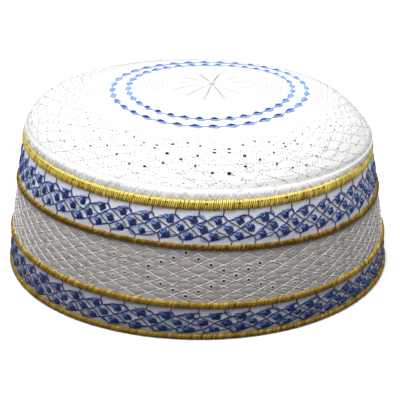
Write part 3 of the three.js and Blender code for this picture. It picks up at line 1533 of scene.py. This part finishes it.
@dataclass
class Crown:
    """The domed top: cotton with dotted rows of stitches, whose dark dots are painted shade, eyelets and two
    rings of blue diamonds.

    Attributes:
        node: The solid that it replaces.
        seed: Seed of its small irregularities.
        stitch: Distance from one needle hole to the next.
        rays: Stitched lines that leave the middle.
        ray_length: Length of a ray.
        ray_first: Azimuth of the first ray.
        blue_rings: Radius of each blue ring.
        diamonds: Diamonds in a blue ring.
        diamond_first: Azimuth of a diamond in each blue ring.
        round_rows: First radius, last radius and spacing of each field of round rows.
        arc_rows: Radii where the crossing arcs of stitches begin and end.
        arcs: Arcs in each of the two crossing families.
        twist: Degrees that an arc turns for each millimetre.
        eyelet_columns: Columns of eyelets round the crown.
        eyelet_first: Azimuth of an eyelet on the innermost row.
        eyelet_row: Radius of the innermost row of eyelets.
        eyelet_step: Distance from one row of eyelets to the next.
        eyelet: Radius of an eyelet at the front.
        fading: Share of that radius that is left at the back, and degrees from the front that it falls over.
        creases: Number of grey marks, painted shade of fine creases between the arcs.
        groove: Half of the depth of the groove under a round row.
        ray_groove: Depth and half width of the groove under a ray.
        hollow: Depth of the hollow at the end of the arcs, how much deeper its fold is, and its half width.
        fold: Azimuth where that hollow is deepest.
        fold_spread: Degrees that its fold spreads to each side.
        arc_share: Share of an arc's holes that shows, and how much less of them shows at the front.
        fringe: Number of fuzzy stitches beside the crown's cord.
    """

    node: str = "crown"
    seed: int = 5
    stitch: float = 1.4
    rays: int = 12
    ray_length: float = 20.0
    ray_first: float = 19.0
    blue_rings: tuple[float, ...] = (39.3, 46.5)
    diamonds: int = 36
    diamond_first: tuple[float, ...] = (3.0, 2.3)
    round_rows: tuple[tuple[float, float, float], ...] = ((21.4, 36.2, 2.45), (49.8, 58.0, 2.45))
    arc_rows: tuple[float, float] = (58.5, 79.6)
    arcs: int = 39
    twist: float = 2.4
    eyelet_columns: int = 65
    eyelet_first: float = 20.0
    eyelet_row: float = 61.4
    eyelet_step: float = 2.0
    eyelet: float = 0.9
    fading: tuple[float, float] = (0.5, 42.0)
    creases: int = 620
    groove: float = 0.09
    ray_groove: tuple[float, float] = (0.35, 0.5)
    hollow: tuple[float, float, float] = (0.12, 0.4, 0.9)
    fold: float = 36.0
    fold_spread: float = 28.0
    arc_share: tuple[float, float] = (0.85, 0.45)
    fringe: int = 1000
    rng: np.random.Generator = field(init=False)

    def __post_init__(self) -> None:
        """Starts the irregularities."""
        self.rng = np.random.default_rng(self.seed)

    def relief(self, azimuth: Array, radius: Array) -> Array:
        """Grooves under the round rows and the rays, and a hollow where the arcs end.

        Args:
            azimuth: Azimuth of each place.
            radius: Radius of each place.

        Returns:
            The height of the relief off the cloth.
        """
        height = np.zeros_like(radius)
        for low, high, gap in self.round_rows:
            inside = (radius > low - gap / 2) & (radius < high + gap / 2)
            height -= inside * self.groove * (1 + np.cos(2 * np.pi * (radius - low) / gap))
        spoke = np.abs(((azimuth - self.ray_first) * self.rays / 360 + 0.5) % 1 - 0.5)
        width = spoke * 2 * np.pi * np.maximum(radius, 0.5) / self.rays
        depth, half = self.ray_groove
        height -= depth * np.exp(-((width / half) ** 2)) * (radius < self.ray_length)
        hollow = np.exp(-(((radius - self.arc_rows[1]) / self.hollow[2]) ** 2))
        deeper = hump(azimuth, self.fold, self.fold_spread)
        return height - (self.hollow[0] + self.hollow[1] * deeper) * hollow

    def eyelets(self) -> tuple[Array, Array]:
        """Azimuth and radius of each eyelet.

        Returns:
            The azimuths and the radii.
        """
        per_repeat, rows = 5, 8
        across, out = np.meshgrid(np.arange(self.eyelet_columns), np.arange(rows))
        on_line = ((across - out) % per_repeat == 0) | ((across + out) % per_repeat == 0)
        azimuth = self.eyelet_first + across[on_line] * 360 / self.eyelet_columns
        return azimuth, self.eyelet_row + out[on_line] * self.eyelet_step

    def build(self) -> None:
        """Builds the cloth, its stitches, its blue rings and its border."""
        rows = self.mesh_rows()
        shell = ClothShell("crown_cotton", rows, FORM.top, segments=340, closes=True)
        cloth = shell.drawn()
        shell.shaped(cloth, self.relief)
        azimuth, radius = self.eyelets()
        holes, _ = laid(FORM.top, azimuth, radius, 0.0)
        kept, spread = self.fading
        sizes = self.eyelet * (kept + (1 - kept) * hump(azimuth, 0, spread))
        shell.pierced(cloth, holes, sizes)
        shell.thickened(cloth, COTTON)
        settle(cloth, self.node)
        stitches = ThreadBundle()
        self.add_stitches(stitches)
        add_rims(stitches, FORM.top, (azimuth, radius, 0 * radius), sizes, self.rng)
        settle(stitches.made("crown_stitches", WHITE_THREAD))
        rings = ThreadBundle()
        self.add_blue_rings(rings)
        settle(rings.made("crown_blue_rings", BLUE_THREAD))
        border = ThreadBundle()
        self.add_border(border)
        settle(border.made("crown_border", WHITE_THREAD))

    def mesh_rows(self) -> Array:
        """Radius of each row of vertices, evenly spread along the cloth from the rim in.

        Returns:
            The radii, without the one at the middle.
        """
        length, radii = FORM.crown_run()
        count = 102
        rows = np.interp(np.linspace(0, length[-1], count), length, radii)
        return rows[:-1]

    def add_line(
        self,
        bundle: ThreadBundle,
        azimuth: Array,
        radius: Array,
        hole: float,
        tone: float = 0.05,
        share: Array | float = 1.0,
    ) -> None:
        """Adds a dark mark at the start of each straight stitch, a painted shade for its needle hole.

        Args:
            bundle: Where the holes go.
            azimuth: Azimuth of each stitch's start and end.
            radius: Radius of each stitch's start and end.
            hole: Half of a needle hole's width.
            tone: Shade of the holes.
            share: Share of the holes that shows.
        """
        shown = self.rng.uniform(0, 1, len(azimuth)) < share
        azimuth, radius = azimuth[shown], radius[shown]
        reach = np.array([-0.17, 0.17])
        turns = azimuth[:, :1] + (azimuth[:, 1:] - azimuth[:, :1]) * reach
        radii = radius[:, :1] + (radius[:, 1:] - radius[:, :1]) * reach
        paths, normals = laid(FORM.top, turns, radii, self.relief(turns, radii) + 0.07)
        tones = tone + self.rng.normal(0, 0.08, (len(azimuth), 1)) + 0 * reach
        # Dark marks just above the cloth: painted shade for the needle holes.
        bundle.add(paths, normals, hole, 0.1, np.maximum(tones, 0), sides=3)

    def add_stitches(self, bundle: ThreadBundle) -> None:
        """Adds the round rows, the crossing arcs and the rays.

        Args:
            bundle: Where the stitches go.
        """
        for low, high, gap in self.round_rows:
            for radius in np.arange(low, high + 0.1, gap):
                self.add_round(bundle, radius, hole=0.21)
        self.add_round(bundle, sum(self.blue_rings) / 2, hole=0.14)
        self.add_round(bundle, self.arc_rows[1], hole=0.08)
        for radius in np.arange(60.3, self.arc_rows[1], self.stitch * 1.75):
            self.add_round(bundle, radius, hole=0.15, tone=0.15, share=0.7)
        reach = self.arc_rows[1] - self.arc_rows[0]
        sweep = math.radians(self.twist * reach) * sum(self.arc_rows) / 2
        radii = np.linspace(*self.arc_rows, round(math.hypot(reach, sweep) / self.stitch) + 1)
        for way in Turn:
            starts = np.arange(self.arcs) * 360 / self.arcs + self.eyelet_first + 180 / self.arcs
            turns = starts[:, None] + way.value * self.twist * (radii - radii[0])
            turns = turns + self.rng.normal(0, 0.12, turns.shape)
            radius = radii + self.rng.normal(0, 0.08, turns.shape)
            azimuth = np.stack([turns[:, :-1].ravel(), turns[:, 1:].ravel()], axis=1)
            radius = np.stack([radius[:, :-1].ravel(), radius[:, 1:].ravel()], axis=1)
            share = self.arc_share[0] - self.arc_share[1] * hump(azimuth[:, 0], 0, 30)
            self.add_line(bundle, azimuth, radius, hole=0.17, tone=0.08, share=share)
        self.add_crease_shades(bundle)
        radii = np.arange(0.8, self.ray_length, self.stitch * 0.8)
        for spread in (-1.5, 1.5):
            turns = self.ray_first + np.arange(self.rays) * 360 / self.rays + spread
            azimuth = np.repeat(turns, len(radii) - 1)
            radius = np.stack([np.tile(radii[:-1], self.rays), np.tile(radii[1:], self.rays)], axis=1)
            self.add_line(bundle, np.stack([azimuth, azimuth], axis=1), radius, hole=0.28, tone=0.0)

    def add_crease_shades(self, bundle: ThreadBundle) -> None:
        """Adds grey marks, painted shade of the fine creases that the dense stitching leaves in the cloth
        between the arcs.

        Args:
            bundle: Where the creases go.
        """
        count = self.creases
        radius = self.rng.uniform(self.arc_rows[0] + 4, self.arc_rows[1] + 1.5, (count, 1))
        middle = self.rng.uniform(0, 360, (count, 1))
        run = np.linspace(-1, 1, 5)
        turns = middle + np.degrees(self.rng.uniform(0.6, 1.9, (count, 1)) / radius) * run
        radii = radius + self.rng.normal(0, 0.25, (count, 1)) * run
        radii = radii + self.rng.normal(0, 0.12, (count, 5))
        paths, normals = laid(FORM.top, turns, radii, 0.02)
        # Grey tones: painted shade in the creases.
        tones = self.rng.uniform(0.2, 0.5, (count, 1)) + 0 * run
        bundle.add(paths, normals, np.array([0.02, 0.08, 0.1, 0.08, 0.02]), 0.06, tones, sides=3)

    def add_round(
        self, bundle: ThreadBundle, radius: float, hole: float, tone: float = 0.05, share: float = 1.0
    ) -> None:
        """Adds one round row of needle holes, as dark marks of painted shade.

        Args:
            bundle: Where the holes go.
            radius: Radius of the row.
            hole: Half of a needle hole's width.
            tone: Shade of the holes.
            share: Share of the holes that shows.
        """
        count = round(2 * math.pi * radius / self.stitch)
        turns = (np.arange(count + 1) + self.rng.uniform()) * 360 / count
        radii = np.full((count, 2), radius)
        self.add_line(bundle, np.stack([turns[:-1], turns[1:]], axis=1), radii, hole, tone, share)

    def add_blue_rings(self, bundle: ThreadBundle) -> None:
        """Adds the rings of diamonds, pale as painted sheen, their dark cores of painted shade and the
        thread that joins them.

        Args:
            bundle: Where the rings go.
        """
        stitches = 13
        for radius, first in zip(self.blue_rings, self.diamond_first):
            half = 0.38 * 360 / self.diamonds
            rank = np.linspace(-1, 1, stitches)[None, :, None]
            run = np.linspace(-1, 1, 4)[None, None, :]
            middles = (first + np.arange(self.diamonds) * 360 / self.diamonds)[:, None, None]
            reach = 1.45 * (1 - np.abs(rank) ** 1.3) + 0.1
            azimuth = middles + rank * half + 0.3 * run * half * (1 - np.abs(rank))
            radii = radius + run * reach + self.rng.normal(0, 0.07, (self.diamonds, stitches, 1))
            lift = np.array([-0.05, 0.42, 0.42, -0.05]) * (1 - 0.5 * np.abs(rank))
            # Pale tone: painted sheen on the blue satin stitches.
            tones = 0.86 + self.rng.normal(0, 0.06, (self.diamonds, stitches, 1)) + 0 * run
            self.add_patch(bundle, azimuth, radii, lift, tones, 0.26)
            self.add_painted_shade_cores(bundle, radius, middles, half)
            around = np.linspace(0, 360, self.diamonds * 10, endpoint=False)[None, :]
            turn = np.radians(around)
            inset = 0.45 * np.cos(turn) + 0.35 * np.sin(turn)
            paths, normals = laid(FORM.top, around, radius - inset, 0.12)
            # The joining thread takes the cores' painted shade.
            tones = self.core_painted_shade(around)
            bundle.add(paths, normals, 0.17, 0.15, tones, ring=True)

    def core_painted_shade(self, azimuth: Array) -> Array:
        """Painted shade of the dark thread: deepest at the front, middling at the back and pale at both
        sides, as the light falls on the satin.
        """
        turn = np.radians(azimuth)
        return 0.3 - 0.3 * np.maximum(np.cos(turn), 0) ** 3 + 0.55 * np.sin(turn) ** 4

    def add_patch(
        self,
        bundle: ThreadBundle,
        azimuth: Array,
        radius: Array,
        lift: Array,
        tones: Array,
        thread: float,
    ) -> None:
        """Adds the stitches of a ring's patches, given as diamonds by stitches by points.

        Args:
            bundle: Where the stitches go.
            azimuth: Azimuth of each point.
            radius: Radius of each point.
            lift: Height of each point off the cloth.
            tones: Shade of each point.
            thread: Half of a stitch's width.
        """
        azimuth, radius, lift, tones = np.broadcast_arrays(azimuth, radius, lift, tones)
        shape = (-1, azimuth.shape[-1])
        paths, normals = laid(FORM.top, azimuth.reshape(shape), radius.reshape(shape), lift.reshape(shape))
        bundle.add(paths, normals, thread, 0.18, tones.reshape(shape))

    def add_painted_shade_cores(self, bundle: ThreadBundle, radius: float, middles: Array, half: float) -> None:
        """Adds the dark stitches along each diamond, nearer to its back and left, as painted shade.

        Args:
            bundle: Where the stitches go.
            radius: Radius of the ring.
            middles: Azimuth of each diamond.
            half: Half of a diamond's length in degrees.
        """
        rank = np.linspace(-1, 1, 4)[None, :, None]
        run = np.linspace(-1, 1, 4)[None, None, :]
        turn = np.radians(middles)
        inward = 0.6 * np.cos(turn) + 0.45 * np.sin(turn)
        sideways = np.degrees((0.55 * np.sin(turn) - 0.45 * np.cos(turn)) / radius)
        length = half * (0.86 - 0.3 * np.abs(rank))
        length = length * (1 + self.rng.normal(0, 0.1, (self.diamonds, 4, 1)))
        azimuth = middles + sideways + run * length + 0.4 * rank
        radii = radius - inward + rank * 0.6 + 0 * azimuth
        lift = np.array([0.1, 0.62, 0.62, 0.1])
        tones = self.core_painted_shade(middles) + self.rng.normal(0, 0.07, (self.diamonds, 4, 1)) + 0 * run
        self.add_patch(bundle, azimuth, radii, lift, tones, 0.26)

    def add_border(self, bundle: ThreadBundle) -> None:
        """Adds the fuzzy overlocked stitches beside the crown's cord, on a padded band.

        Args:
            bundle: Where the band and its stitches go.
        """
        length, radii = FORM.crown_run()
        around = np.linspace(0, 360, 360, endpoint=False)[None, :]
        middle = np.full_like(around, np.interp(3.5, length, radii))
        paths, normals = laid(FORM.top, around, middle, -0.02)
        bundle.add(paths, normals, 2.1, 0.26, 0.5, sides=8, ring=True)
        count = self.fringe
        first = np.linspace(0, 360, count, endpoint=False) + self.rng.normal(0, 0.1, count)
        lean = np.where(np.arange(count) % 2 == 0, 1.0, -1.0) * 1.8 + self.rng.normal(0, 0.4, count)
        run = np.linspace(0, 1, 4)
        start = 1.4 + self.rng.uniform(0, 0.5, (count, 1))
        reach = 5.1 + self.rng.normal(0, 0.35, (count, 1))
        radius = np.interp(start + (reach - start) * run, length, radii)
        azimuth = first[:, None] + lean[:, None] * run
        lift = 0.12 + 0.2 * np.sin(np.pi * run) * (1 + 0.3 * self.rng.standard_normal((count, 1)))
        paths, normals = laid(FORM.top, azimuth, radius, lift)
        tones = self.rng.uniform(0.3, 1.0, (count, 1)) + 0 * run
        bundle.add(paths, normals, 0.15, 0.14, tones, sides=3)


@dataclass
class Studio:
    """Plain white floor, soft light from above and the photograph's viewing angle.

    Attributes:
        camera_place: Camera in millimetres.
        pitch: Degrees that the camera looks down.
        roll: Degrees that it is turned about its view.
        focal_pixels: Focal length in pixels of the photograph.
        image_pixels: Width of the photograph.
        sensor: Width of the sensor in millimetres.
        floor_size: Side of the floor in metres.
        shade_radius: Radius of the disc that keeps the inside of the cap dark.
        overhead: Strength of the overhead light.
        front: Strength of the soft front light.
        sides: Strength of the weak lights from the left and from the right.
        sky: Strength of the light from all round.
    """

    camera_place: tuple[float, float, float] = (1.02, -536.7, 256.2)
    pitch: float = 23.225
    roll: float = 0.35
    focal_pixels: float = 1173.6
    image_pixels: float = 400.0
    sensor: float = 36.0
    floor_size: float = 8.0
    shade_radius: float = 88.0
    overhead: float = 4.1
    front: float = 0.3
    sides: tuple[float, float] = (0.28, 0.2)
    sky: float = 0.115

    def build(self) -> None:
        """Builds the floor, the lights and the camera."""
        self.floor()
        self.lights()
        self.camera()
        bpy.context.scene.view_settings.view_transform = "Standard"

    def floor(self) -> None:
        """Lays the floor, which throws no light back up on the cap, and a dark disc inside the cap, a
        painted shade.
        """
        bpy.ops.object.select_all(action="DESELECT")
        bpy.ops.mesh.primitive_plane_add(size=self.floor_size)
        floor = bpy.context.object
        floor.name = "floor"
        floor.data.materials.append(WARDROBE.of(FloorFinish()))
        floor.visible_diffuse = False
        bpy.ops.object.select_all(action="DESELECT")
        # The near-black disc is painted shade inside the cap, seen through the eyelets.
        bpy.ops.mesh.primitive_circle_add(
            vertices=64, radius=self.shade_radius * MM, fill_type="NGON", location=(0, 0, 0.1 * MM)
        )
        shade = bpy.context.object
        shade.name = "shade_under_cap"
        shade.data.materials.append(WARDROBE.of(THROAT_PAINTED_SHADE))

    def lights(self) -> None:
        """Adds a broad light from above, weak ones from the front and sides, and an even sky."""
        self.lamp("overhead", self.overhead, 50, (5, -5, 0))
        self.lamp("front", self.front, 70, (58, -12, 0))
        self.lamp("left", self.sides[0], 60, (0, -68, 10))
        self.lamp("right", self.sides[1], 60, (0, 68, -10))
        world = bpy.data.worlds.new("sky")
        world.use_nodes = True
        sky = world.node_tree.nodes["Background"]
        sky.inputs["Color"].default_value = (0.97, 0.98, 1.0, 1.0)
        sky.inputs["Strength"].default_value = self.sky
        bpy.context.scene.world = world

    def lamp(self, name: str, strength: float, spread: float, turn: tuple[float, ...]) -> None:
        """Adds a distant light.

        Args:
            name: Name of the light.
            strength: Strength of the light.
            spread: Degrees that it takes up in the sky.
            turn: Its turns about X, Y and Z in degrees, from straight above.
        """
        light = bpy.data.lights.new(name, "SUN")
        light.energy = strength
        light.angle = math.radians(spread)
        lamp = bpy.data.objects.new(name, light)
        lamp.rotation_euler = [math.radians(part) for part in turn]
        bpy.context.collection.objects.link(lamp)

    def camera(self) -> None:
        """Sets the camera at the photograph's angle."""
        lens = bpy.data.cameras.new("camera")
        lens.sensor_width = self.sensor
        lens.lens = self.focal_pixels / self.image_pixels * self.sensor
        camera = bpy.data.objects.new("camera", lens)
        camera.location = [MM * part for part in self.camera_place]
        camera.rotation_mode = "ZXY"
        camera.rotation_euler = (math.radians(90 - self.pitch), 0, math.radians(self.roll))
        bpy.context.collection.objects.link(camera)
        bpy.context.scene.camera = camera


def main() -> None:
    """Builds the cap's pieces and the studio."""
    logging.basicConfig(level=logging.INFO, format="%(message)s")
    Studio().build()
    # Light tone on the crown's cord and dark ones on the side cords: painted light and painted shade.
    GoldCord("crown_cord", CROWN, seed=11, tone=0.85, shade=0.5, spare=1.5).build()
    GoldCord("upper_band_cord", UPPER, seed=12, tone=0.0).build()
    GoldCord("lower_band_cord", LOWER, seed=13, tone=0.22).build()
    HemCord("hem_cord", HEM, seed=14).build()
    FlowerBand(
        "upper_flower_strip",
        UPPER,
        CROWN,
        foot=UPPER.height + GAP / 2,
        rows=(53.5, 50.1, 46.4),
        seed=21,
    ).build()
    LatticeBand("lattice_strip", LOWER, UPPER, seed=31).build()
    FlowerBand(
        "lower_flower_strip",
        HEM,
        LOWER,
        foot=1.4,
        rows=(10.9, 7.9, 4.9),
        seed=22,
        start=-1.7,
        stretch=(1.25, 0.8),
        # Darker tones, satin and thread on the lower strip: painted shade.
        painted_shade_share=0.3,
        satin=SHADED_LOWER_SATIN,
        thread=SHADED_LOWER_BLUE_THREAD,
    ).build()
    Crown().build()


if __name__ == "__main__":
    main()
